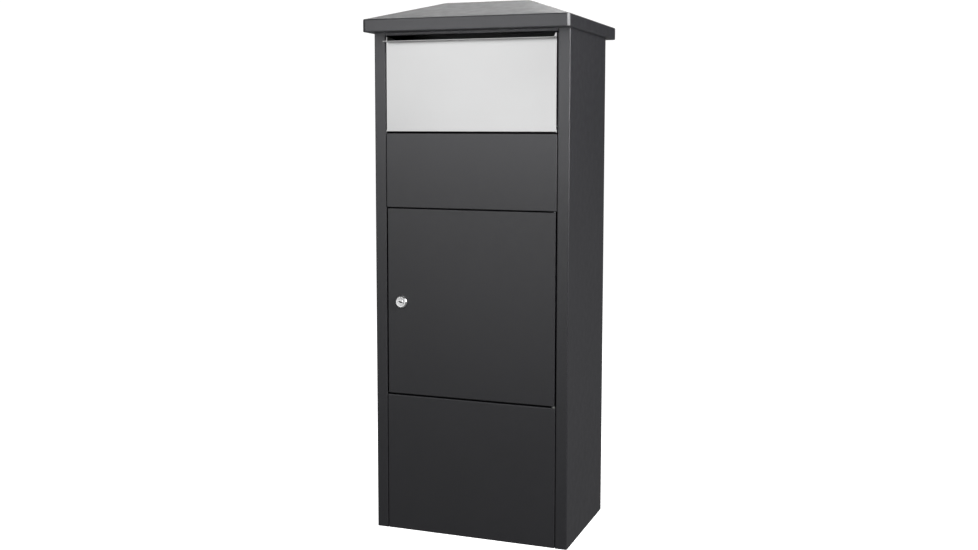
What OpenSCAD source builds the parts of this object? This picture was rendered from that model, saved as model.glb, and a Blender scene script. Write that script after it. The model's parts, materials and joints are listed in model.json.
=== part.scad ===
// Free-standing parcel drop box: a steel cabinet with a tilting deposit hopper above a locked door.
// Millimetres, +Z up, front towards -Y, origin on the ground below the middle of the roof.

/* [Cabinet] */
// Width of the cabinet across its sides
body_w = 400; // [380:1:440]
// Depth of the cabinet from front face to back face
body_d = 256; // [240:1:280]
// Height of the sheet-metal shell, without the plate on top
shell_h = 1001.5; // [1001.5]
// Thickness of the steel sheet
sheet = 1.5; // [1.2:0.1:1.6]
// Width of each front stile
stile_w = 24; // [22:1:28]
// Depth of the folded jamb behind each stile
jamb_depth = 16; // [16:1:18]
// Outside radius of the bend between side and stile
corner_r = 2.5; // [2:0.5:4]

/* [Roof] */
// Width of the roof cap
roof_w = 418; // [417:1:450]
// Depth of the roof cap
roof_d = 340; // [330:1:360]
// Height of the underside of the roof cap
roof_z = 990; // [988:0.5:992]
// Height of the upright edge of the roof cap
fascia_h = 23.5; // [22:0.5:30]
// Rise of the hipped part above the upright edge
hip_rise = 41.5; // [30:0.5:50]
// Width of the flat top of the roof
plateau_w = 174; // [150:1:200]
// Depth of the flat top of the roof
plateau_d = 74; // [60:1:100]
// Corner radius of the roof cap in plan
roof_corner_r = 7; // [4:1:8]

/* [Front] */
// Lower edge of the header strip
header_z = 985; // [984:1:986]
// Upper edge of the deposit flap
flap_top = 974; // [973:1:975]
// Lower edge of the deposit flap
flap_bottom = 798.5; // [798:0.5:800]
// Upper edge of the fixed panel below the flap
upper_panel_top = 795.5; // [795:0.5:797]
// Lower edge of the fixed panel above the door
upper_panel_bottom = 650.2; // [650:0.1:652]
// Upper edge of the door
door_top = 648; // [646:1:648]
// Lower edge of the door
door_bottom = 278; // [278:1:279]
// Upper edge of the fixed panel below the door
lower_panel_top = 274.5; // [274:0.5:275]
// Gap between a moving panel and the jamb beside it
moving_gap = 2.5; // [2:0.5:3]
// Gap between a fixed panel and the jamb beside it
fixed_gap = 0.8; // [0.5:0.1:1]

/* [Hopper] */
// Thickness of the stainless sheet
steel = 1.2; // [1:0.1:1.5]
// How far the grip lip stands forward of the flap
lip_reach = 17; // [14:1:20]
// Thickness of the folded nose of the lip
lip_nose = 2.8; // [2.4:0.2:3.2]
// Height of the pivot above the lower edge of the flap
pivot_rise = 11.5; // [9:0.5:12]
// Distance of the pivot behind the front face
pivot_depth = 7.5; // [7:0.5:8]
// Angle through which the hopper tilts out
hopper_swing = 45; // [40:1:45]
// Length of the hopper floor from the pivot to its rear edge
shelf_reach = 120; // [100:1:125]
// Downward slope of the hopper floor when the flap is shut
shelf_slope = 25; // [20:1:28]
// Radius of the quadrant cheeks about the pivot
cheek_r = 172.3; // [172:0.1:173]

/* [Door and lock] */
// Depth of the folded edge of the door
door_depth = 16; // [14:1:16]
// Distance of the door pivot from the cabinet's centre line
hinge_x = 171; // [170:0.5:171]
// Distance of the door pivot behind the front face
hinge_depth = 3.8; // [3.6:0.1:4]
// Radius of the door pivot pins
hinge_pin_r = 2; // [1.5:0.1:2]
// Place of the lock to the left of the centre line
lock_x = -144; // [-150:1:-130]
// Height of the lock
lock_z = 463; // [400:1:520]
// Radius of the visible lock collar
lock_collar_r = 12; // [10:0.5:12]
// Length of the locking tongue from the lock's axis
cam_reach = 45; // [40:1:48]

/* [Fixing holes] */
// Radius of the ground anchor holes
anchor_r = 5.5; // [4.5:0.5:6.5]
// Spacing of the ground anchor holes across the cabinet
anchor_dx = 280; // [240:5:300]
// Spacing of the ground anchor holes from front to back
anchor_dy = 160; // [140:5:180]
// Radius of the wall fixing holes
wall_r = 4.5; // [3.5:0.5:5]
// Spacing of the wall fixing holes across the cabinet
wall_dx = 260; // [200:5:300]
// Spacing of the wall fixing holes in height
wall_dz = 550; // [400:10:600]

/* [Hidden] */
$fn = 48;
e = 0.01;
half_w = body_w / 2;
front_lead = 6;
front_y = -body_d / 2 - front_lead;
back_y = body_d / 2 - front_lead;
jamb_x = half_w - stile_w;
moving_w = 2 * (jamb_x - moving_gap);
fixed_w = 2 * (jamb_x - fixed_gap);
inner_x = half_w - sheet;
inside_x = inner_x - 0.2;
back_flange_w = 14;
panel_fold = 14;
inside_back_y = back_y - 2 * sheet - 0.2;
behind_jamb_y = front_y + jamb_depth + 0.4;
top_plate_z = shell_h;
roof_frame_z = shell_h + sheet;
roof_top = roof_z + fascia_h + hip_rise;
floor_z = lower_panel_top;
anchor_y = (front_y + back_y) / 2;
wall_z = 625;
pivot_y = front_y + pivot_depth;
pivot_z = flap_bottom + pivot_rise;
crown_z = pivot_z + sqrt(pow(cheek_r, 2) - pow(pivot_depth, 2));
hopper_half = moving_w / 2;
cheek_inner_x = hopper_half - steel;
pin_r = 3;
running = 0.05;
bush_r = 4.5;
shelf_flat = 12;
shelf_v = -pivot_rise + steel;
stop_orbit = 120;
stop_r = 4;
stop_angle = acos((jamb_depth - pivot_depth + stop_r + 0.3) / stop_orbit) - hopper_swing;
baffle_u = 112;
baffle_bottom = pivot_z + 50;
baffle_half = 170;
baffle_screw_x = [-120, 0, 120];
baffle_fold = 22;
rest_y = front_y + 99;
rest_z = pivot_z - 58;
rest_inner_x = 150;
rest_bumper_x = 160;
rivet_r = 2;
lower_rivet_z = [30, 100, 170, 240];
upper_rivet_z = [680, 765];
back_rivet_z = [60, 230, 400, 570, 740, 910];
rivet_y = front_y + 9;
stiffener_y = [-60, 60];
roof_screw_x = 120;
screw_r = 2.5;
cam_y = front_y + jamb_depth + 1.5;
cam_t = 2.5;
barrel_r = 9.5;
plug_r = 6.5;
plug_face_y = front_y - 6.2;

coat = [0.20, 0.20, 0.21];
stainless = [0.80, 0.80, 0.80];
zinc = [0.66, 0.67, 0.68];
chrome = [0.86, 0.86, 0.87];
nylon = [0.88, 0.88, 0.85];
rubber = [0.09, 0.09, 0.09];

// ---- shared shapes -----------------------------------------------------------------------------

// A box between two opposite corners
module block(low, high) {
    translate(low) cube(high - low);
}

// A bar along X, along Y and along Z, each starting at the given point
module rod_x(start, r, length) {
    translate(start) rotate([0, 90, 0]) cylinder(r = r, h = length);
}

module rod_y(start, r, length) {
    translate(start) rotate([-90, 0, 0]) cylinder(r = r, h = length);
}

module rod_z(start, r, length) {
    translate(start) cylinder(r = r, h = length);
}

// A profile drawn in the Y-Z plane, run along X between two places
module along_x(x0, x1) {
    translate([x0, 0, 0]) rotate([90, 0, 90]) linear_extrude(x1 - x0) children();
}

// Does the same on the left and on the right
module both_sides() {
    children();
    mirror([1, 0, 0]) children();
}

// A quarter ring of sheet with its centre at the origin, opening towards +X and +Y
module sheet_bend(r, t) {
    difference() {
        intersection() {
            circle(r = r);
            translate([-r, -r]) square(r);
        }
        circle(r = r - t);
    }
}

// A quarter disc with its centre at the origin, filling the corner towards -X and -Y
module round_corner(r) {
    intersection() {
        circle(r = r);
        translate([-r, -r]) square(r);
    }
}

// A shallow pan: a front sheet with its four edges folded back, the upright folds cut short
module pan(w, z0, z1, depth, relief) {
    block([-w / 2, front_y, z0], [w / 2, front_y + sheet, z1]);
    block([-w / 2, front_y, z0], [w / 2, front_y + depth, z0 + sheet]);
    block([-w / 2, front_y, z1 - sheet], [w / 2, front_y + depth, z1]);
    both_sides() block([w / 2 - sheet, front_y, z0 + relief], [w / 2, front_y + depth, z1 - relief]);
}

// Rivet holes through the jamb and the fold of the panel beside it
module rivet_holes(heights) {
    for (z = heights) both_sides() rod_x([jamb_x - 6, rivet_y, z], rivet_r, 12);
}

// ---- cabinet -----------------------------------------------------------------------------------

module side_profile() {
    translate([-half_w + corner_r, front_y + corner_r]) sheet_bend(corner_r, sheet);
    translate([-half_w, front_y + corner_r]) square([sheet, body_d - corner_r]);
    translate([-half_w + corner_r, front_y]) square([stile_w - corner_r, sheet]);
    translate([-jamb_x - sheet, front_y]) square([sheet, jamb_depth]);
    translate([-half_w, back_y - sheet]) square([back_flange_w, sheet]);
}

module side_shell() {
    difference() {
        linear_extrude(shell_h) side_profile();
        rivet_holes(concat(lower_rivet_z, upper_rivet_z));
        rod_x([-jamb_x - 6, pivot_y, pivot_z], bush_r, 12);
        for (z = back_rivet_z) rod_y([-half_w + 7, back_y - 6, z], rivet_r, 12);
    }
}

module left_side_panel() {
    color(coat) side_shell();
}

module right_side_panel() {
    color(coat) mirror([1, 0, 0]) side_shell();
}

module back_panel() {
    color(coat) difference() {
        block([-inside_x, back_y - 2 * sheet, 0], [inside_x, back_y - sheet, shell_h]);
        for (x = [-1, 1], z = [-1, 1])
            rod_y([x * wall_dx / 2, back_y - 6, wall_z + z * wall_dz / 2], wall_r, 12);
        both_sides() for (z = back_rivet_z) rod_y([-half_w + 7, back_y - 6, z], rivet_r, 12);
    }
}

module base_plate() {
    tongue = moving_w / 2 - 1;
    fold = 25;
    color(coat) difference() {
        union() {
            block([-inside_x, behind_jamb_y, 0], [inside_x, inside_back_y, sheet]);
            block([-tongue, front_y + sheet + 0.2, 0], [tongue, behind_jamb_y + e, sheet]);
            block([-tongue, front_y + sheet + 0.2, 0], [tongue, front_y + 2 * sheet + 0.2, fold]);
            block([-inside_x, inside_back_y - sheet, 0], [inside_x, inside_back_y, fold]);
            both_sides() block([inside_x - sheet, behind_jamb_y, 0], [inside_x, inside_back_y, fold]);
        }
        for (x = [-1, 1], y = [-1, 1])
            rod_z([x * anchor_dx / 2, anchor_y + y * anchor_dy / 2, -1], anchor_r, 5);
    }
}

// An angle under one side of the compartment floor
module floor_angle() {
    leg = 20;
    block([inner_x - sheet, behind_jamb_y + 4, floor_z - leg], [inner_x, inside_back_y - 4, floor_z]);
    block([inner_x - leg, behind_jamb_y + 4, floor_z - sheet], [inner_x, inside_back_y - 4, floor_z]);
}

module floor_support_left() {
    color(coat) mirror([1, 0, 0]) floor_angle();
}

module floor_support_right() {
    color(coat) floor_angle();
}

module compartment_floor() {
    color(coat) block([-inside_x, behind_jamb_y, floor_z], [inside_x, inside_back_y, floor_z + sheet]);
}

module lower_front_panel() {
    color(coat) difference() {
        pan(fixed_w, 0, lower_panel_top, panel_fold, 0);
        block([-fixed_w / 2 + sheet, front_y + sheet, -e], [fixed_w / 2 - sheet, 0, sheet + e]);
        rivet_holes(lower_rivet_z);
        rod_z([hinge_x, front_y + hinge_depth, lower_panel_top - 5], hinge_pin_r, 10);
    }
}

module upper_front_panel() {
    color(coat) difference() {
        pan(fixed_w, upper_panel_bottom, upper_panel_top, panel_fold, 0);
        rivet_holes(upper_rivet_z);
        rod_z([hinge_x, front_y + hinge_depth, upper_panel_bottom - 5], hinge_pin_r, 10);
    }
}

module header_rail() {
    color(coat) {
        block([-fixed_w / 2, front_y, header_z], [fixed_w / 2, front_y + sheet, shell_h]);
        block([-fixed_w / 2, front_y, header_z], [fixed_w / 2, front_y + panel_fold, header_z + sheet]);
    }
}

module top_plate() {
    inset = 0.2;
    color(coat) difference() {
        block([-half_w + inset, front_y + inset, top_plate_z], [half_w - inset, back_y - inset, roof_frame_z]);
        for (x = [-1, 1], y = stiffener_y) rod_z([x * roof_screw_x, y, top_plate_z - 1], screw_r + 0.25, 5);
        for (x = baffle_screw_x)
            rod_z([x, pivot_y + baffle_u + baffle_fold / 2, top_plate_z - 1], screw_r + 0.25, 5);
    }
}

// ---- roof --------------------------------------------------------------------------------------

// A flat plate with round corners, inset all round from the roof's outline
module roof_outline(inset, z, h) {
    r = roof_corner_r - inset;
    hull() for (x = [-1, 1], y = [-1, 1])
        translate([x * (roof_w / 2 - roof_corner_r), y * (roof_d / 2 - roof_corner_r), z])
            cylinder(r = r, h = h, $fn = 32);
}

// The upright edge with the hipped top over it, inset all round
module roof_body(inset, z0) {
    drop = inset * 1.05;
    shoulder = roof_z + fascia_h - inset * 0.3;
    roof_outline(inset, z0, shoulder - z0);
    hull() {
        for (x = [-1, 1], y = [-1, 1])
            translate([x * (roof_w / 2 - roof_corner_r), y * (roof_d / 2 - roof_corner_r), shoulder - e])
                cylinder(r = roof_corner_r - inset, h = e, $fn = 32);
        block([-plateau_w / 2, -plateau_d / 2, roof_top - drop - e], [plateau_w / 2, plateau_d / 2, roof_top - drop]);
    }
}

module roof_cap() {
    clear = 0.5;
    color(coat) difference() {
        roof_body(0, roof_z);
        roof_body(sheet, roof_z + sheet);
        block([-half_w - clear, front_y - clear, roof_z - 1], [half_w + clear, back_y + clear, roof_z + 3]);
    }
}

// A channel across the inside of the roof cap that rests on the shell
module roof_channel(y) {
    width = 20;
    height = 9;
    reach = roof_w / 2 - sheet - 0.1;
    difference() {
        block([-reach, y - width / 2, roof_frame_z], [reach, y + width / 2, roof_frame_z + height]);
        block([-reach - 1, y - width / 2 + sheet, roof_frame_z + sheet],
            [reach + 1, y + width / 2 - sheet, roof_frame_z + height + 1]);
        for (x = [-1, 1]) rod_z([x * roof_screw_x, y, roof_frame_z - 1], screw_r, 5);
    }
}

module roof_stiffener_front() {
    color(zinc) roof_channel(stiffener_y[0]);
}

module roof_stiffener_rear() {
    color(zinc) roof_channel(stiffener_y[1]);
}

// A screw from below with a hexagon head, and its nut if it has one
module upward_screw(place, length) {
    head = 3.5;
    rod_z(place, screw_r, length);
    translate(place - [0, 0, head]) cylinder(r = 4.6, h = head, $fn = 6);
}

module roof_screws() {
    color(zinc) for (x = [-1, 1], y = stiffener_y)
        upward_screw([x * roof_screw_x, y, top_plate_z], 8);
}

// ---- hopper surroundings -----------------------------------------------------------------------

module baffle_plate() {
    y0 = pivot_y + baffle_u;
    hem = 10;
    color(coat) difference() {
        union() {
            block([-baffle_half, y0, baffle_bottom], [baffle_half, y0 + sheet, top_plate_z]);
            block([-baffle_half, y0, top_plate_z - sheet], [baffle_half, y0 + baffle_fold, top_plate_z]);
            block([-baffle_half, y0, baffle_bottom], [baffle_half, y0 + hem, baffle_bottom + sheet]);
        }
        for (x = baffle_screw_x) rod_z([x, y0 + baffle_fold / 2, top_plate_z - 5], screw_r, 8);
    }
}

module baffle_screws() {
    nut = 4;
    color(zinc) for (x = baffle_screw_x) translate([x, pivot_y + baffle_u + baffle_fold / 2, 0]) {
        upward_screw([0, 0, top_plate_z - sheet], 2 * sheet + nut + 1.5);
        translate([0, 0, roof_frame_z]) cylinder(r = 4.6, h = nut, $fn = 6);
    }
}

// A bracket on the right side that the hopper floor comes down on
module hopper_bracket() {
    width = 20;
    rise = 15;
    difference() {
        union() {
            block([rest_inner_x, rest_y - width / 2, rest_z - sheet], [inner_x, rest_y + width / 2, rest_z]);
            block([inner_x - sheet, rest_y - width / 2, rest_z - rise], [inner_x, rest_y + width / 2, rest_z]);
        }
        rod_z([rest_bumper_x, rest_y, rest_z - 4], 2, 8);
    }
}

module hopper_rest_left() {
    color(coat) mirror([1, 0, 0]) hopper_bracket();
}

module hopper_rest_right() {
    color(coat) hopper_bracket();
}

module rest_bumpers() {
    pad = 7.5;
    color(rubber) both_sides() {
        rod_z([rest_bumper_x, rest_y, rest_z], 5, pad);
        rod_z([rest_bumper_x, rest_y, rest_z - sheet - 2], 2, sheet + 2);
        rod_z([rest_bumper_x, rest_y, rest_z - sheet - 2], 3.5, 2);
    }
}

// A flanged plain bush in the right jamb
module flap_bush() {
    difference() {
        union() {
            rod_x([jamb_x - 1, pivot_y, pivot_z], bush_r + 2, 1);
            rod_x([jamb_x - 1, pivot_y, pivot_z], bush_r, 4);
        }
        rod_x([jamb_x - 2, pivot_y, pivot_z], pin_r + running, 8);
    }
}

module flap_bush_left() {
    color(rubber) mirror([1, 0, 0]) flap_bush();
}

module flap_bush_right() {
    color(rubber) flap_bush();
}

// ---- door pivots and rivets --------------------------------------------------------------------

// A headed pin that points towards the door from the panel edge at height z
module door_pin(z, way) {
    reach = 8.5;
    translate([hinge_x, front_y + hinge_depth, z]) scale_z(way) {
        rod_z([0, 0, -sheet], hinge_pin_r, sheet + reach);
        rod_z([0, 0, -sheet - 1.2], hinge_pin_r + 0.3, 1.2);
    }
}

// Turns a shape upside down when way is -1
module scale_z(way) {
    if (way > 0) children();
    else mirror([0, 0, 1]) children();
}

module door_pin_lower() {
    color(zinc) door_pin(lower_panel_top, 1);
}

module door_pin_upper() {
    color(zinc) door_pin(upper_panel_bottom, -1);
}

// A spacing washer round a door pin, between two heights
module door_washer(z0, z1) {
    difference() {
        rod_z([hinge_x, front_y + hinge_depth, z0], 3.6, z1 - z0);
        rod_z([hinge_x, front_y + hinge_depth, z0 - 1], hinge_pin_r + running, z1 - z0 + 2);
    }
}

module door_washer_lower() {
    color(nylon) door_washer(lower_panel_top, door_bottom - 0.1);
}

module door_washer_upper() {
    color(coat) door_washer(door_top + 0.3, upper_panel_bottom);
}

// A pop rivet along X through the right jamb and the panel fold inside it
module pop_rivet(z) {
    inner = fixed_w / 2 - sheet;
    outer = jamb_x + sheet;
    rod_x([inner, rivet_y, z], rivet_r, outer - inner);
    rod_x([inner - 1, rivet_y, z], rivet_r + 1.5, 1);
    rod_x([outer, rivet_y, z], rivet_r + 1, 1.5);
}

module panel_rivets() {
    color(zinc) both_sides() for (z = concat(lower_rivet_z, upper_rivet_z)) pop_rivet(z);
}

module back_rivets() {
    head = 1;
    color(zinc) both_sides() for (z = back_rivet_z) {
        rod_y([half_w - 7, back_y - 2 * sheet, z], rivet_r, 2 * sheet);
        rod_y([half_w - 7, back_y, z], rivet_r + 1.5, head);
        rod_y([half_w - 7, back_y - 2 * sheet - 1.5, z], rivet_r + 1, 1.5);
    }
}

// ---- tilting hopper ----------------------------------------------------------------------------

module flap_panel() {
    back_fold = 11;
    foot = 1.3;
    color(stainless) {
        block([-hopper_half, front_y, flap_bottom], [hopper_half, front_y + steel, flap_top]);
        block([-hopper_half, front_y - lip_reach + lip_nose / 2, flap_top - steel],
            [hopper_half, front_y, flap_top]);
        block([-hopper_half, front_y, flap_bottom], [hopper_half, front_y + back_fold, flap_bottom + steel]);
        both_sides() translate([hopper_half, front_y + steel, flap_bottom]) rotate([90, 0, 0])
            linear_extrude(steel) polygon([[-e, 0], [foot, 0], [foot, 2], [-e, 6]]);
        rod_x([-hopper_half, front_y - lip_reach + lip_nose / 2, flap_top - lip_nose / 2],
            lip_nose / 2, 2 * hopper_half);
    }
}

// Underside of the hopper floor at a distance behind the pivot, measured from the pivot
function shelf_under(u) = shelf_v - max(u - shelf_flat, 0) * tan(shelf_slope);

// Outline of a cheek about the pivot: flap edge, quadrant and floor edge
module cheek_outline() {
    lip_v = flap_top - pivot_z;
    front_u = -pivot_depth + steel;
    a0 = asin(pivot_depth / cheek_r);
    end_u = cheek_r * cos(shelf_slope) + 1.5;
    a1 = atan2(shelf_under(end_u), end_u);
    points = concat(
        [[front_u, shelf_v], [front_u, lip_v], [-pivot_depth, lip_v]],
        [for (i = [0:40]) let (a = 90 + a0 + (a1 - 90 - a0) * i / 40) cheek_r * [cos(a), sin(a)]],
        [[shelf_flat, shelf_v]]);
    polygon(points);
}

module cheek_tab() {
    tip = 2.2;
    base = 4.6;
    root = 2.2;
    translate([0, front_y + steel, 0]) rotate([90, 0, 0]) linear_extrude(steel) polygon(concat(
        [[hopper_half, flap_top], [hopper_half, crown_z], [hopper_half - tip, crown_z]],
        [for (i = [0:6]) let (a = 15 * i)
            [hopper_half - base + root * (cos(a) - 1), flap_top + root * (1 - sin(a))]]));
}

module cheek() {
    difference() {
        translate([0, pivot_y, pivot_z]) along_x(cheek_inner_x, hopper_half) cheek_outline();
        rod_x([cheek_inner_x - 1, pivot_y, pivot_z], pin_r, 4);
        translate([cheek_inner_x - 1, pivot_y + stop_orbit * cos(stop_angle), pivot_z + stop_orbit * sin(stop_angle)])
            rod_x([0, 0, 0], 2, 4);
    }
}

module cheek_left() {
    color(stainless) mirror([1, 0, 0]) cheek();
}

module cheek_right() {
    color(stainless) {
        cheek();
        cheek_tab();
    }
}

module hopper_shelf() {
    end_u = shelf_reach * cos(shelf_slope);
    rise = sheet / cos(shelf_slope);
    hem = 8;
    end_v = shelf_under(end_u);
    color(stainless) translate([0, pivot_y, pivot_z]) along_x(-cheek_inner_x, cheek_inner_x)
        polygon([
            [-pivot_depth + steel, shelf_v],
            [shelf_flat, shelf_v],
            [end_u - sheet, end_v + sheet * tan(shelf_slope)],
            [end_u - sheet, end_v - hem],
            [end_u, end_v - hem],
            [end_u, end_v + rise],
            [shelf_flat, shelf_v + rise],
            [-pivot_depth + steel, shelf_v + rise]]);
}

// A shouldered pin in the right cheek
module flap_pin() {
    rod_x([cheek_inner_x, pivot_y, pivot_z], pin_r, 11);
    rod_x([cheek_inner_x - 1, pivot_y, pivot_z], 5, 1);
}

module flap_pin_left() {
    color(zinc) mirror([1, 0, 0]) flap_pin();
}

module flap_pin_right() {
    color(zinc) flap_pin();
}

module flap_pin_clips() {
    color(zinc) both_sides() difference() {
        rod_x([jamb_x + 3.5, pivot_y, pivot_z], 6, 1);
        rod_x([jamb_x + 3, pivot_y, pivot_z], pin_r, 3);
    }
}

module flap_stops() {
    color(rubber) both_sides()
        translate([0, pivot_y + stop_orbit * cos(stop_angle), pivot_z + stop_orbit * sin(stop_angle)]) {
            rod_x([hopper_half, 0, 0], stop_r, 4);
            rod_x([cheek_inner_x, 0, 0], 2, steel + 1);
            rod_x([cheek_inner_x - 1.5, 0, 0], 3.5, 1.5);
        }
}

// ---- door and lock -----------------------------------------------------------------------------

module door_panel() {
    relief = 12;
    color(coat) difference() {
        union() {
            difference() {
                pan(moving_w, door_bottom, door_top, door_depth, relief);
                both_sides() block([moving_w / 2 - sheet, front_y - 1, door_bottom - 1],
                    [moving_w / 2 + 1, front_y + sheet, door_top + 1]);
            }
            translate([0, 0, door_bottom]) linear_extrude(door_top - door_bottom) both_sides()
                translate([sheet - moving_w / 2, front_y + sheet]) round_corner(sheet);
        }
        rod_y([lock_x, front_y - 2, lock_z], barrel_r, 6);
        for (z = [door_bottom, door_top])
            rod_z([hinge_x, front_y + hinge_depth, z - 3], hinge_pin_r + running, 6);
    }
}

module door_stiffener() {
    x0 = 8;
    width = 44;
    depth = 12;
    z0 = door_bottom + 14;
    z1 = door_top - 14;
    y0 = front_y + sheet;
    color(coat) difference() {
        block([x0, y0, z0], [x0 + width, y0 + depth, z1]);
        block([x0 + sheet, y0 - 1, z0 - 1], [x0 + width - sheet, y0 + depth - sheet, z1 + 1]);
    }
}

// Places its children on the lock's axis, with the front face of the door at zero
module at_lock() {
    translate([lock_x, front_y, lock_z]) children();
}

module lock_housing() {
    collar = 5.5;
    color(chrome) at_lock() difference() {
        union() {
            rod_y([0, -collar, 0], lock_collar_r, collar);
            rod_y([0, 0, 0], barrel_r, jamb_depth - 0.5);
        }
        rod_y([0, -collar - 1, 0], plug_r + running, 40);
    }
}

module lock_nut() {
    color(zinc) at_lock() difference() {
        translate([0, sheet, 0]) rotate([-90, 0, 0]) cylinder(r = 14, h = 4.5, $fn = 6);
        rod_y([0, 0, 0], barrel_r, 10);
    }
}

module lock_plug() {
    face = plug_face_y - front_y;
    square_side = 7;
    keyway_w = 8;
    keyway_h = 2.6;
    keyway_turn = 14;
    color(chrome) at_lock() difference() {
        union() {
            rod_y([0, face, 0], plug_r, cam_y - front_y - face - 0.2);
            translate([-square_side / 2, 0, -square_side / 2])
                cube([square_side, cam_y + cam_t - front_y, square_side]);
        }
        rotate([0, keyway_turn, 0]) translate([-keyway_w / 2, face - 1, -keyway_h / 2])
            cube([keyway_w, 7, keyway_h]);
    }
}

module lock_cam() {
    tail = 11;
    color(zinc) at_lock() translate([0, cam_y - front_y, 0]) difference() {
        union() {
            translate([-cam_reach, 0, -8]) cube([cam_reach, cam_t, 16]);
            rod_y([0, 0, 0], tail, cam_t);
        }
        translate([-3.5, -1, -3.5]) cube([7, cam_t + 2, 7]);
    }
}

module cam_screw() {
    color(zinc) at_lock() translate([0, cam_y + cam_t - front_y, 0]) {
        rod_y([0, 0, 0], 6, 1);
        rod_y([0, 1, 0], 3.8, 2.2);
    }
}

left_side_panel();
right_side_panel();
back_panel();
base_plate();
floor_support_left();
floor_support_right();
compartment_floor();
lower_front_panel();
upper_front_panel();
header_rail();
top_plate();
roof_cap();
roof_stiffener_front();
roof_stiffener_rear();
roof_screws();
baffle_plate();
baffle_screws();
hopper_rest_left();
hopper_rest_right();
rest_bumpers();
flap_bush_left();
flap_bush_right();
door_pin_upper();
door_pin_lower();
door_washer_upper();
door_washer_lower();
panel_rivets();
back_rivets();
flap_panel();
cheek_left();
cheek_right();
hopper_shelf();
flap_pin_left();
flap_pin_right();
flap_pin_clips();
flap_stops();
door_panel();
door_stiffener();
lock_housing();
lock_nut();
lock_plug();
lock_cam();
cam_screw();
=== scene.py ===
import json
import math

import bmesh
import bpy
from mathutils import Matrix, Vector

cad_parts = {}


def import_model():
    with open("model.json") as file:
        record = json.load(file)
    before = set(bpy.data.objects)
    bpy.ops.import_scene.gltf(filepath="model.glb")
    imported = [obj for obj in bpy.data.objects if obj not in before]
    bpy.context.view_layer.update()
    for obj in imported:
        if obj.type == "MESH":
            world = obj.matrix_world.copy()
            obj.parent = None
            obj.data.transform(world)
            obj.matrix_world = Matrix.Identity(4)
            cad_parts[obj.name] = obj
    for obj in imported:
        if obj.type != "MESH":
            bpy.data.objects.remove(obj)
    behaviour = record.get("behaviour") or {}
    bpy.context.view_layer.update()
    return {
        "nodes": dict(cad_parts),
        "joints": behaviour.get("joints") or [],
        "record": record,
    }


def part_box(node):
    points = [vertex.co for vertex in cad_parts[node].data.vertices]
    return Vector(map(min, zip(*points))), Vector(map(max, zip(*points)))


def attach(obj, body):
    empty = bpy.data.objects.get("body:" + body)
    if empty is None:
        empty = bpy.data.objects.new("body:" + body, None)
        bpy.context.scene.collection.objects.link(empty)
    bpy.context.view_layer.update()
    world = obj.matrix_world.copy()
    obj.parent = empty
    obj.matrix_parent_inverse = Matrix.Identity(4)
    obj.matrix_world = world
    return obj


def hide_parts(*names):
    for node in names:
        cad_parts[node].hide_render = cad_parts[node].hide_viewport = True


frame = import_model()

MM = 0.001
MICRON = 0.001 * MM
BODY_OF = {n: b for b, ns in frame["record"]["behaviour"]["bodies"].items() for n in ns}
SLOT_OF = {s["node"]: s["material_slot"] for s in frame["record"]["subparts"]}
JOINT = {j["name"]: j for j in frame["joints"]}

# ---- places taken from the frame ---------------------------------------------------------------

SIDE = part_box("right_side_panel")
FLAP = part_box("flap_panel")
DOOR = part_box("door_panel")
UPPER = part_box("upper_front_panel")
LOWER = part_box("lower_front_panel")
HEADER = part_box("header_rail")
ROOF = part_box("roof_cap")
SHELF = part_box("hopper_shelf")
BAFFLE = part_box("baffle_plate")
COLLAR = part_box("lock_housing")
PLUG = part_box("lock_plug")
PIVOT = Vector(JOINT["hopper_tilt"]["pos_m"])

SHEET = 1.5 * MM
STEEL = 1.2 * MM
FRONT = DOOR[0].y
BACK = SIDE[1].y
HALF_W = SIDE[1].x
JAMB_X = SIDE[0].x
JAMB_DEPTH = 16 * MM
CORNER_R = 2.5 * MM
BACK_FLANGE = 14 * MM
PANEL_R = 1.3 * MM
DOOR_R = 1.2 * MM
EDGE = 0.25 * MM
SMALL_EDGE = 0.2 * MM


# ---- materials ---------------------------------------------------------------------------------

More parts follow.
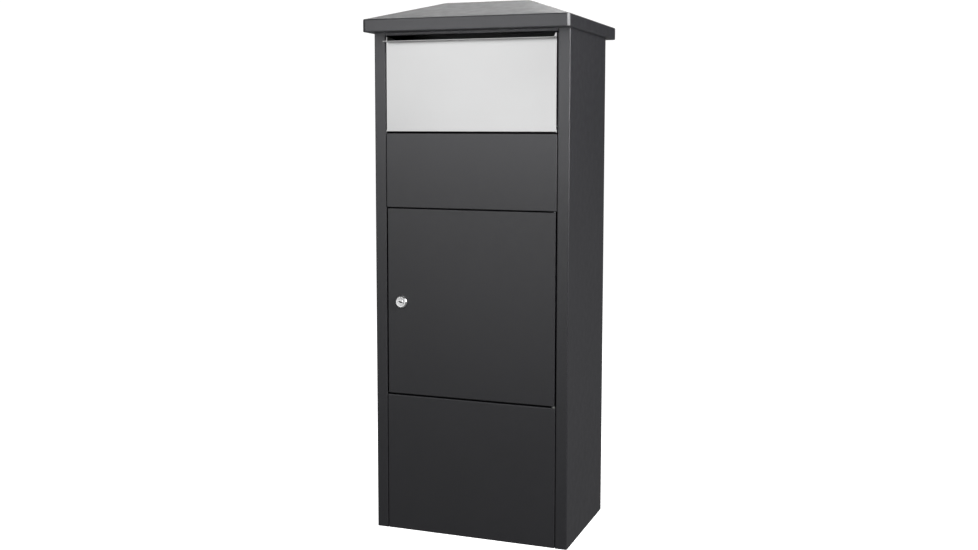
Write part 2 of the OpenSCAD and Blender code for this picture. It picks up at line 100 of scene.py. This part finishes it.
class Shader:
    """A Principled material with short ways to add procedural detail."""

    def __init__(self, name):
        self.mat = bpy.data.materials.new(name)
        self.mat.use_nodes = True
        self.nodes = self.mat.node_tree.nodes
        self.links = self.mat.node_tree.links
        self.base = self.nodes["Principled BSDF"]
        self.coord = self.nodes.new("ShaderNodeTexCoord").outputs["Object"]

    def set(self, **values):
        """Sets constant inputs of the Principled node; an underscore stands for a space."""
        for key, value in values.items():
            self.base.inputs[key.replace("_", " ")].default_value = value

    def noise(self, scale, detail=2.0, stretch=(1, 1, 1), roughness=0.5):
        """A noise texture on the object's own coordinates."""
        place = self.nodes.new("ShaderNodeMapping")
        place.inputs["Scale"].default_value = stretch
        self.links.new(self.coord, place.inputs["Vector"])
        node = self.nodes.new("ShaderNodeTexNoise")
        node.inputs["Scale"].default_value = scale
        node.inputs["Detail"].default_value = detail
        node.inputs["Roughness"].default_value = roughness
        self.links.new(place.outputs["Vector"], node.inputs["Vector"])
        return node.outputs["Fac"]

    def span(self, source, low, high, start=0.35, end=0.65):
        """Turns the source, from start to end, into low to high."""
        node = self.nodes.new("ShaderNodeMapRange")
        node.inputs["From Min"].default_value = start
        node.inputs["From Max"].default_value = end
        node.inputs["To Min"].default_value = low
        node.inputs["To Max"].default_value = high
        self.links.new(source, node.inputs["Value"])
        return node.outputs["Result"]

    def roughness(self, source, low, high):
        """Roughness that follows the source."""
        self.links.new(self.span(source, low, high), self.base.inputs["Roughness"])

    def colour(self, source, first, last, start=0.3, end=0.7):
        """A base colour that follows the source from the first colour to the last."""
        node = self.nodes.new("ShaderNodeValToRGB")
        node.color_ramp.elements[0].position = start
        node.color_ramp.elements[0].color = (*first, 1)
        node.color_ramp.elements[1].position = end
        node.color_ramp.elements[1].color = (*last, 1)
        self.links.new(source, node.inputs["Fac"])
        self.links.new(node.outputs["Color"], self.base.inputs["Base Color"])

    def bump(self, *layers):
        """Each layer is (height source, depth in metres); they add up."""
        normal = None
        for source, depth in layers:
            node = self.nodes.new("ShaderNodeBump")
            node.inputs["Strength"].default_value = 1.0
            node.inputs["Distance"].default_value = depth
            self.links.new(source, node.inputs["Height"])
            if normal is not None:
                self.links.new(normal, node.inputs["Normal"])
            normal = node.outputs["Normal"]
        self.links.new(normal, self.base.inputs["Normal"])


def powder_coat():
    """Satin anthracite powder coat: orange peel, a fine sparkle of texture, slight shade changes."""
    s = Shader("powder_coat")
    s.set(Specular_IOR_Level=0.5)
    s.colour(s.noise(9, 3), (0.0193, 0.0193, 0.0219), (0.0207, 0.0207, 0.0235))
    s.roughness(s.noise(60, 4), 0.40, 0.45)
    s.bump((s.noise(520, 3), 4 * MICRON), (s.noise(1700, 2), 2 * MICRON))
    return s.mat


def brushed_stainless():
    """Stainless sheet with a fine horizontal grain and the faint waves of thin sheet."""
    s = Shader("brushed_stainless")
    s.set(Metallic=1.0, Anisotropic=0.3)
    grain = s.noise(900, 4, (0.012, 1, 1), 0.7)
    s.colour(s.noise(7, 3), (0.352, 0.352, 0.353), (0.364, 0.364, 0.365))
    s.roughness(grain, 0.315, 0.33)
    s.bump((s.noise(4, 1), 100 * MICRON), (grain, 0.08 * MICRON))
    return s.mat


def zinc_plate():
    """Bright zinc plating, slightly mottled."""
    s = Shader("zinc_plate")
    s.set(Metallic=1.0)
    s.colour(s.noise(160, 3), (0.52, 0.53, 0.54), (0.66, 0.67, 0.67))
    s.roughness(s.noise(300, 3), 0.26, 0.42)
    s.bump((s.noise(900, 2), 6 * MICRON))
    return s.mat


def lock_chrome():
    """Satin chrome of the lock barrel."""
    s = Shader("lock_chrome")
    s.set(Metallic=1.0)
    s.colour(s.noise(120, 2), (0.88, 0.88, 0.885), (0.94, 0.94, 0.945))
    s.roughness(s.noise(400, 3), 0.22, 0.30)
    s.bump((s.noise(700, 2), 3 * MICRON))
    return s.mat


def plug_chrome_painted_keyway_shade(face):
    """Chrome with painted shade: its colour turns near black behind the face of the plug, down in the keyway,
    where shade falls.
    """
    s = Shader("plug_chrome_painted_keyway_shade")
    s.set(Metallic=1.0)
    split = s.nodes.new("ShaderNodeSeparateXYZ")
    s.links.new(s.coord, split.inputs["Vector"])
    # painted shade: from 0.2 mm to 0.8 mm behind the face, the colour falls to near black
    painted_shade_start = face + 0.2 * MM
    painted_shade_full = face + 0.8 * MM
    depth = s.span(split.outputs["Y"], 0, 1, painted_shade_start, painted_shade_full)
    s.colour(depth, (0.90, 0.90, 0.905), (0.004, 0.004, 0.004))
    s.roughness(s.noise(400, 3), 0.24, 0.32)
    s.bump((s.noise(700, 2), 3 * MICRON))
    return s.mat


def nylon():
    """Grey nylon, a little translucent."""
    s = Shader("nylon")
    s.set(Subsurface_Weight=0.05)
    s.colour(s.noise(140, 3), (0.110, 0.110, 0.105), (0.135, 0.135, 0.129))
    s.roughness(s.noise(500, 3), 0.40, 0.52)
    s.bump((s.noise(900, 3), 12 * MICRON))
    return s.mat


def black_rubber():
    """Matt black rubber with a fine grain."""
    s = Shader("black_rubber")
    s.colour(s.noise(200, 3), (0.012, 0.012, 0.012), (0.026, 0.026, 0.026))
    s.roughness(s.noise(450, 3), 0.66, 0.82)
    s.bump((s.noise(1200, 3), 30 * MICRON))
    return s.mat


MATERIAL = {
    "coat": powder_coat(),
    "stainless": brushed_stainless(),
    "zinc": zinc_plate(),
    "chrome": lock_chrome(),
    # the lock plug's chrome, with painted shade down its keyway
    "plug": plug_chrome_painted_keyway_shade(PLUG[0].y),
    "nylon": nylon(),
    "rubber": black_rubber(),
}


# ---- making pieces -----------------------------------------------------------------------------

def settle(obj, edge, angle):
    """Breaks the sharp edges of a piece, and keeps its flat faces flat."""
    if edge:
        bevel = obj.modifiers.new("edge", "BEVEL")
        bevel.width = edge
        bevel.segments = 2
        bevel.limit_method = "ANGLE"
        bevel.angle_limit = math.radians(angle)
        bevel.use_clamp_overlap = True
    normals = obj.modifiers.new("normals", "WEIGHTED_NORMAL")
    normals.keep_sharp = True
    shown = obj.evaluated_get(bpy.context.evaluated_depsgraph_get())
    mesh = bpy.data.meshes.new_from_object(shown)
    obj.modifiers.clear()
    obj.data = mesh


def piece(name, bm, nodes, edge=EDGE, angle=50, smooth=35, look=None):
    """Makes an object of a bmesh, with the material and body of its first node, to stand for the nodes.

    edge is the width of the broken edges, angle the least fold in degrees that is broken, and smooth
    the fold from which an edge is shaded sharp."""
    bmesh.ops.remove_doubles(bm, verts=bm.verts, dist=1e-7)
    bmesh.ops.recalc_face_normals(bm, faces=bm.faces)
    mesh = bpy.data.meshes.new(name)
    bm.to_mesh(mesh)
    bm.free()
    mesh.shade_smooth()
    mesh.set_sharp_from_angle(angle=math.radians(smooth))
    obj = bpy.data.objects.new(name, mesh)
    bpy.context.scene.collection.objects.link(obj)
    slot = SLOT_OF[nodes[0]]
    obj.data.materials.append(MATERIAL[look or slot])
    settle(obj, edge, angle)
    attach(obj, BODY_OF[nodes[0]])
    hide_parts(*nodes)


def filleted(points, radius, step=15):
    """The line through points with each inner corner turned into an arc, where there is room."""
    line = [Vector(points[0])]
    for before, at, after in zip(points, points[1:], points[2:]):
        a = (Vector(before) - Vector(at)).normalized()
        b = (Vector(after) - Vector(at)).normalized()
        half = a.angle(b) / 2
        reach = radius / math.tan(half)
        centre = Vector(at) + (a + b).normalized() * radius / math.sin(half)
        start = Vector(at) + a * reach - centre
        end = Vector(at) + b * reach - centre
        turn = start.angle_signed(end)
        count = max(2, round(abs(math.degrees(turn)) / step))
        for i in range(count + 1):
            line.append(centre + Matrix.Rotation(-turn * i / count, 2) @ start)
    line.append(Vector(points[-1]))
    return line


def ribbon(line, thickness):
    """Left and right edges of a band of that thickness along a line."""
    sides = []
    for way in (1, -1):
        edge = []
        for i, p in enumerate(line):
            ahead = line[min(i + 1, len(line) - 1)] - p
            behind = p - line[max(i - 1, 0)]
            along = (ahead.normalized() + behind.normalized()).normalized()
            spread = 1.0 if 0 in (ahead.length, behind.length) else along.dot(ahead.normalized())
            edge.append(p + Vector((-along.y, along.x)) * way * thickness / 2 / spread)
        sides.append(edge)
    return sides


def folded(points, thickness, radius, place, low, high):
    """A folded sheet: a profile of straight stretches and bends, run from low to high.

    place(u, v, w) turns the profile's u and v and the distance w into a point."""
    left, right = ribbon(filleted(points, radius), thickness)
    bm = bmesh.new()
    rings = [[bm.verts.new(place(p.x, p.y, w)) for p in left + right[::-1]] for w in (low, high)]
    count = len(rings[0])
    for i in range(count):
        j = (i + 1) % count
        bm.faces.new((rings[0][i], rings[0][j], rings[1][j], rings[1][i]))
    for ring in rings:
        for i in range(len(left) - 1):
            bm.faces.new((ring[i], ring[i + 1], ring[count - 2 - i], ring[count - 1 - i]))
    return bm


def along_x(u, v, w):
    """Places a profile of (y, z) points, run along X."""
    return Vector((w, u, v))


def along_z(u, v, w):
    """Places a profile of (x, y) points, run along Z."""
    return Vector((u, v, w))


def mirrored(bm):
    """The same mesh on the other side of the X = 0 plane."""
    bmesh.ops.scale(bm, vec=(-1, 1, 1), verts=bm.verts)
    return bm


def rounded_ring(bm, half_x, half_v, radius, place, count=6):
    """Vertices round a rectangle with round corners; place(x, v) puts them in space."""
    least = 0.02 * MM
    radius = max(radius, least)
    ring = []
    for corner in range(4):
        sx = 1 if corner in (0, 3) else -1
        sv = 1 if corner in (0, 1) else -1
        for i in range(count + 1):
            a = math.radians(90 * (corner + i / count))
            x = sx * (half_x - radius) + radius * math.cos(a)
            v = sv * (half_v - radius) + radius * math.sin(a)
            ring.append(bm.verts.new(place(x, v)))
    return ring


def cut_ring(bm, half_x, half_v, leg, place):
    """Vertices round a rectangle whose corners are cut off flat, with the arrises just broken."""
    soft = 0.3 * leg
    # three points ease one end of the cut, and the same three, turned over, ease the other
    steps = [(0, leg + soft), (0.18 * soft, leg + 0.08 * soft), (0.7 * soft, leg - 0.7 * soft)]
    steps += [(v, u) for u, v in reversed(steps)]
    ring = []
    for su, sv, order in ((1, 1, 1), (-1, 1, -1), (-1, -1, 1), (1, -1, -1)):
        ring += [bm.verts.new(place(su * (half_x - u), sv * (half_v - v))) for u, v in steps[::order]]
    return ring


def bridge(bm, rings):
    """Joins each ring to the next with four-sided faces; all have the same number of vertices."""
    for a, b in zip(rings, rings[1:]):
        for i in range(len(a)):
            j = (i + 1) % len(a)
            bm.faces.new((a[i], a[j], b[j], b[i]))


def prism(bm, outline, y_low, y_high):
    """Adds a closed block with the outline (x, z) between two depths."""
    near = [bm.verts.new((x, y_low, z)) for x, z in outline]
    far = [bm.verts.new((x, y_high, z)) for x, z in outline]
    bridge(bm, [near, far])
    bm.faces.new(near)
    bm.faces.new(far)


def pan(box, depth, radius, thickness):
    """A panel with its four edges folded back, as one closed shell of sheet metal."""
    low, high = box
    middle = (low + high) / 2
    half_x = (high.x - low.x) / 2
    half_z = (high.z - low.z) / 2
    bm = bmesh.new()

    def ring(inset, y, corner):
        return rounded_ring(bm, half_x - inset, half_z - inset, corner,
                            lambda x, z: Vector((middle.x + x, y, middle.z + z)))

    steps = 5
    inner_r = max(radius - thickness, 0.1 * MM)
    outer = []
    inner = []
    for i in range(steps + 1):
        a = math.radians(90 * i / steps)
        inset = 1 - math.sin(a)
        back = 1 - math.cos(a)
        outer.append(ring(radius * inset, low.y + radius * back, radius * math.sin(a)))
        inner.append(ring(thickness + inner_r * inset, low.y + thickness + inner_r * back,
                          inner_r * math.sin(a)))
    outer.append(ring(0, low.y + depth, radius))
    inner.append(ring(thickness, low.y + depth, inner_r))
    bridge(bm, outer + inner[::-1])
    bm.faces.new(outer[0])
    bm.faces.new(inner[0])
    return bm


def lathe(profile, centre, steps=72):
    """A turned piece about the Y axis through centre; profile is a list of (radius, y)."""
    bm = bmesh.new()
    rings = []
    for r, y in profile:
        if r <= 0:
            rings.append([bm.verts.new(centre + Vector((0, y, 0)))] * steps)
            continue
        rings.append([bm.verts.new(centre + Vector((r * math.cos(a), y, r * math.sin(a))))
                      for a in (math.tau * i / steps for i in range(steps))])
    for a, b in zip(rings, rings[1:]):
        for i in range(steps):
            j = (i + 1) % steps
            corners = []
            for vert in (a[i], a[j], b[j], b[i]):
                if vert not in corners:
                    corners.append(vert)
            if len(corners) > 2:
                bm.faces.new(corners)
    return bm


def soften(node, look=None):
    """A small part with the CAD's own shape, its triangles joined up and its edges broken."""
    bm = bmesh.new()
    bm.from_mesh(frame["nodes"][node].data)
    bmesh.ops.remove_doubles(bm, verts=bm.verts, dist=1e-6)
    bmesh.ops.dissolve_limit(bm, angle_limit=math.radians(1), verts=bm.verts, edges=bm.edges)
    piece(node + "_part", bm, [node], SMALL_EDGE, look=look)


# ---- cabinet -----------------------------------------------------------------------------------
# The sheets made from here on leave out the holes for pins, bushes, rivets, screws and the lock;
# those small parts pass through them.

def side_panels():
    """Each side is one sheet: back flange, side, bend, stile and jamb."""
    t = SHEET / 2
    profile = [
        (HALF_W - BACK_FLANGE, BACK - t),
        (HALF_W - t, BACK - t),
        (HALF_W - t, FRONT + t),
        (JAMB_X + t, FRONT + t),
        (JAMB_X + t, FRONT + JAMB_DEPTH),
    ]
    for node, flip in (("right_side_panel", False), ("left_side_panel", True)):
        bm = folded(profile, SHEET, CORNER_R - t, along_z, SIDE[0].z, SIDE[1].z)
        if flip:
            mirrored(bm)
        piece(node.replace("_panel", "_shell"), bm, [node])


def front_panels():
    """The fixed panels under and over the door, and the folded strip below the roof."""
    piece("lower_front_cover", pan(LOWER, LOWER[1].y - LOWER[0].y, PANEL_R, SHEET), ["lower_front_panel"])
    piece("upper_front_cover", pan(UPPER, UPPER[1].y - UPPER[0].y, PANEL_R, SHEET), ["upper_front_panel"])
    t = SHEET / 2
    profile = [
        (HEADER[0].y + t, HEADER[1].z),
        (HEADER[0].y + t, HEADER[0].z + t),
        (HEADER[1].y, HEADER[0].z + t),
    ]
    strip = folded(profile, SHEET, PANEL_R - t, along_x, HEADER[0].x, HEADER[1].x)
    piece("header_strip", strip, ["header_rail"])


def baffle():
    """The anti-fishing baffle: a flange at the top, a hanging plate and a hem at its foot."""
    t = SHEET / 2
    hem = 10 * MM
    y = BAFFLE[0].y + t
    profile = [
        (BAFFLE[1].y, BAFFLE[1].z - t),
        (y, BAFFLE[1].z - t),
        (y, BAFFLE[0].z + t),
        (y + hem - t, BAFFLE[0].z + t),
    ]
    sheet = folded(profile, SHEET, PANEL_R - t, along_x, BAFFLE[0].x, BAFFLE[1].x)
    piece("anti_fishing_baffle", sheet, ["baffle_plate"])


# ---- roof --------------------------------------------------------------------------------------

def roof():
    """The cap: soffit, upright edge, bend, four slopes and a flat top, as a closed shell of sheet."""
    fascia = 23.5 * MM
    rise_z = ROOF[0].z + fascia
    plateau_x = 87 * MM
    plateau_y = 37 * MM
    corner = 6 * MM
    hip = 0.8 * MM
    soft = 2.0 * MM
    half_x = (ROOF[1].x - ROOF[0].x) / 2
    half_y = (ROOF[1].y - ROOF[0].y) / 2
    least_r = 0.3 * MM
    hole_r = 0.5 * MM
    gap = 0.5 * MM
    hole_y = (BACK - FRONT) / 2 + gap
    hole_mid = (BACK + FRONT) / 2
    bm = bmesh.new()

    def ring(x, y, z, leg, mid=0.0):
        return cut_ring(bm, x, y, leg, lambda u, v: Vector((u, v + mid, z)))

    def ring_inside(x, y, z, leg):
        """The ring one sheet thickness inside a ring of the section."""
        step = -SHEET if z > rise_z - soft * 2 else SHEET
        return ring(x - SHEET, y - SHEET, z + step, max(leg - SHEET, least_r))

    def bend(before, at, after, steps=5):
        """Points (x, y, z, leg of the cut corner) along a smooth bend at a corner of the section."""
        points = []
        for i in range(steps + 1):
            s = i / steps
            points.append([(1 - s) ** 2 * a + 2 * s * (1 - s) * b + s * s * c
                           for a, b, c in zip(before, at, after)])
        return points

    def toward(a, b, distance):
        """The point that far from a on the line to b."""
        span = math.dist(a[:3], b[:3])
        return [p + (q - p) * distance / span for p, q in zip(a, b)]

    base = [half_x, half_y, ROOF[0].z, corner]
    eave = [half_x, half_y, rise_z, corner]
    top = [plateau_x, plateau_y, ROOF[1].z, hip]
    above = toward(eave, top, soft * 2)
    above[3] = hip
    section = bend([half_x - soft, half_y - soft, ROOF[0].z, corner - soft], base, toward(base, eave, soft))
    section += bend(toward(eave, base, soft), eave, above)
    below = toward(top, eave, soft * 3)
    below[3] = hip
    flat = [plateau_x - soft * 2, plateau_y - soft * 2, ROOF[1].z, hip]
    section += bend(below, top, flat)
    outer = [ring(*p) for p in section]
    inner = [ring_inside(*p) for p in section]
    lip_low = ring(HALF_W + gap, hole_y, ROOF[0].z, hole_r, hole_mid)
    lip_high = ring(HALF_W + gap, hole_y, ROOF[0].z + SHEET, hole_r, hole_mid)
    bridge(bm, inner[::-1] + [lip_high, lip_low] + outer)
    bm.faces.new(outer[-1])
    bm.faces.new(inner[-1])
    piece("roof_cover", bm, ["roof_cap"], angle=60, smooth=25)


# ---- hopper ------------------------------------------------------------------------------------

def flap():
    """The stainless flap: bottom fold, face, grip lip with a hemmed nose, and a foot at each lower corner."""
    t = STEEL / 2
    low, high = FLAP
    nose = 2.8 * MM
    hem = 9 * MM
    fold = 11 * MM
    bend_r = 0.78 * MM
    face_y = FRONT + t
    top = high.z - t
    profile = [
        (FRONT + fold, low.z + t),
        (face_y, low.z + t),
        (face_y, top),
        (low.y + t, top),
        (low.y + t, high.z - nose + t),
        (low.y + hem, high.z - nose + t),
    ]
    foot = 1.3 * MM
    foot_tip = 2 * MM
    foot_top = 6 * MM
    skin = 0.05 * MM
    side = high.x - foot
    root = side - 0.2 * MM
    bm = folded(profile, STEEL, bend_r, along_x, -side, side)
    outline = [(root, skin), (high.x, skin), (high.x, foot_tip), (root, foot_top)]
    for way in (1, -1):
        prism(bm, [(way * x, low.z + z) for x, z in outline], FRONT + skin, FRONT + STEEL - skin)
    piece("deposit_flap", bm, ["flap_panel"], SMALL_EDGE)


def shelf():
    """The hopper floor: a level strip behind the flap, a slope, and a lip turned down at the rear."""
    slope = math.radians(25)
    reach = 120 * MM
    level = 12 * MM
    air = 0.1 * MM
    lift = 0.2 * MM
    bend_r = 1.6 * MM
    rear = PIVOT.y + reach * math.cos(slope)
    flat_y = PIVOT.y + level
    t = SHEET / 2
    z = FLAP[0].z + STEEL + t + air
    drop = z - (rear - t - flat_y) * math.tan(slope)
    profile = [
        (FRONT + STEEL + air, z),
        (flat_y, z),
        (rear - t, drop + lift),
        (rear - t, SHELF[0].z),
    ]
    sheet = folded(profile, SHEET, bend_r, along_x, SHELF[0].x, SHELF[1].x)
    piece("hopper_floor", sheet, ["hopper_shelf"])


# ---- door and lock -----------------------------------------------------------------------------

def door():
    """The collection door, a pan with slightly tighter edges than the fixed panels."""
    piece("collection_door", pan(DOOR, DOOR[1].y - DOOR[0].y, DOOR_R, SHEET), ["door_panel"])


def lock():
    """The cam lock's barrel: a flat face in a chamfered rim, a groove behind the rim, and a thread."""
    centre = Vector(((COLLAR[0].x + COLLAR[1].x) / 2, FRONT, (COLLAR[0].z + COLLAR[1].z) / 2))
    r = (COLLAR[1].x - COLLAR[0].x) / 2
    face = COLLAR[0].y - FRONT
    end = COLLAR[1].y - FRONT
    bore = 6.55 * MM
    barrel = 9.5 * MM
    rim = 1.9 * MM
    groove = 0.5 * MM
    chamfer = 0.5 * MM
    profile = [
        (bore, end),
        (bore, face + 0.4 * MM),
        (bore + 0.3 * MM, face + 0.1 * MM),
        (r - rim - 0.2 * MM, face),
        (r - rim, face + 0.05 * MM),
        (r - 0.25 * MM, face + rim - 0.35 * MM),
        (r, face + rim),
        (r, -1.3 * MM),
        (r - groove, -0.9 * MM),
        (r, -0.5 * MM),
        (r - 0.3 * MM, 0),
        (barrel, 0),
    ]
    threads = 9
    tooth = 0.45 * MM
    first = 2 * MM
    length = end - 3 * MM
    for i in range(threads):
        y = first + length * i / threads
        profile += [(barrel, y), (barrel - tooth, y + length / threads / 2)]
    profile += [(barrel, end - chamfer), (barrel - chamfer, end)]
    profile.append(profile[0])
    piece("lock_barrel", lathe(profile, centre), ["lock_housing"], edge=0)


for build in (side_panels, front_panels, baffle, roof, flap, shelf, door, lock):
    build()

# the nodes whose shape is made above; every other node keeps the shape it has in the frame
REMADE = {"left_side_panel", "right_side_panel", "lower_front_panel", "upper_front_panel", "header_rail",
          "baffle_plate", "roof_cap", "flap_panel", "hopper_shelf", "door_panel", "lock_housing"}
for name in sorted(set(frame["nodes"]) - REMADE):
    # the lock plug gets the chrome with painted shade in its keyway
    soften(name, look="plug" if name == "lock_plug" else None)


# ---- floor, light and camera -------------------------------------------------------------------

def seen_by_camera(tree, direct, other):
    """One shader where the camera looks straight at it, and another where its light falls on the object."""
    path = tree.nodes.new("ShaderNodeLightPath")
    mix = tree.nodes.new("ShaderNodeMixShader")
    tree.links.new(path.outputs["Is Camera Ray"], mix.inputs[0])
    tree.links.new(other, mix.inputs[1])
    tree.links.new(direct, mix.inputs[2])
    return mix.outputs[0]


def glow(tree, kind, strength, name):
    """A plain white source of light, as a shader or a background."""
    node = tree.nodes.new(kind)
    node.name = name
    node.inputs["Color"].default_value = (1, 1, 1, 1)
    node.inputs["Strength"].default_value = strength
    return node.outputs[0]


def world(backdrop, fill):
    """A white backdrop for the camera, and a dim even fill for the object."""
    w = bpy.data.worlds.new("studio")
    bpy.context.scene.world = w
    w.use_nodes = True
    tree = w.node_tree
    tree.nodes.clear()
    white = glow(tree, "ShaderNodeBackground", backdrop, "white")
    dim = glow(tree, "ShaderNodeBackground", fill, "fill")
    out = tree.nodes.new("ShaderNodeOutputWorld")
    tree.links.new(seen_by_camera(tree, white, dim), out.inputs["Surface"])


def floor(lift, bounce):
    """A plain pale floor: lift makes it as white as the backdrop, bounce is the light it sends up."""
    mesh = bpy.data.meshes.new("floor")
    bm = bmesh.new()
    bmesh.ops.create_circle(bm, cap_ends=True, segments=96, radius=40.0)
    bm.to_mesh(mesh)
    bm.free()
    obj = bpy.data.objects.new("floor", mesh)
    bpy.context.scene.collection.objects.link(obj)
    s = Shader("pale_floor")
    s.set(Specular_IOR_Level=0.0)
    s.colour(s.noise(3, 2), (0.78, 0.78, 0.78), (0.80, 0.80, 0.80))
    s.roughness(s.noise(8, 2), 0.85, 0.9)
    tree = s.mat.node_tree
    lifted = tree.nodes.new("ShaderNodeAddShader")
    tree.links.new(s.base.outputs[0], lifted.inputs[0])
    tree.links.new(glow(tree, "ShaderNodeEmission", lift, "lift"), lifted.inputs[1])
    up = glow(tree, "ShaderNodeEmission", bounce, "bounce")
    surface = tree.nodes["Material Output"].inputs["Surface"]
    tree.links.new(seen_by_camera(tree, lifted.outputs[0], up), surface)
    mesh.materials.append(s.mat)


def softbox(name, place, target, width, height, power, spread=180):
    """A rectangular lamp turned toward target, its power in watts and its spread in degrees."""
    light = bpy.data.lights.new(name, "AREA")
    light.shape = "RECTANGLE"
    light.size = width
    light.size_y = height
    light.energy = power
    light.spread = math.radians(spread)
    obj = bpy.data.objects.new(name, light)
    bpy.context.scene.collection.objects.link(obj)
    obj.location = place
    obj.rotation_mode = "QUATERNION"
    obj.rotation_quaternion = (Vector(target) - Vector(place)).to_track_quat("-Z", "Y")


def camera():
    """The photo's view: from the right of the front and above the middle, looking a little down."""
    place = (0.7974, -2.1628, 0.8007)
    yaw, pitch, roll = (math.radians(a) for a in (19.714, 5.285, 0.146))
    forward = Vector((-math.sin(yaw) * math.cos(pitch), math.cos(yaw) * math.cos(pitch), -math.sin(pitch)))
    right = Vector((math.cos(yaw), math.sin(yaw), 0))
    up = right.cross(forward)
    right, up = right * math.cos(roll) + up * math.sin(roll), up * math.cos(roll) - right * math.sin(roll)
    data = bpy.data.cameras.new("camera")
    data.sensor_width = 36
    data.lens = 41.761
    data.shift_x = -0.01506
    data.shift_y = -0.04004
    obj = bpy.data.objects.new("camera", data)
    bpy.context.scene.collection.objects.link(obj)
    turn = Matrix((right, up, -forward)).transposed()
    obj.matrix_world = Matrix.Translation(place) @ turn.to_4x4()
    bpy.context.scene.camera = obj


world(1.05, 0.05)
floor(1.0, 0.175)
camera()
softbox("high_left", (-1.0, -2.5, 2.3), (0, -0.13, 0.9), 3.0, 1.8, 30)
softbox("near_front", (-0.75, -1.7, 1.15), (0, -0.13, 0.9), 1.4, 0.9, 7)
softbox("low_front", (-0.4, -2.4, 0.5), (0, -0.13, 0.9), 1.6, 0.8, 6.5)
softbox("under_eave", (0.5, -1.0, 0.45), (0.1, -0.13, 1.0), 0.8, 0.15, 1.1, 36)
softbox("right_strip", (2.2, -0.76, 1.4), (0.2, -0.17, 0.9), 0.35, 0.9, 78)
softbox("rear_wide", (-0.8, 2.3, 2.35), (0, 0, 1.0), 1.6, 0.5, 10.5)
softbox("rear_mid", (-0.3, 2.4, 2.35), (0, 0, 1.0), 0.8, 0.5, 6.9)
bpy.context.scene.view_settings.view_transform = "Standard"
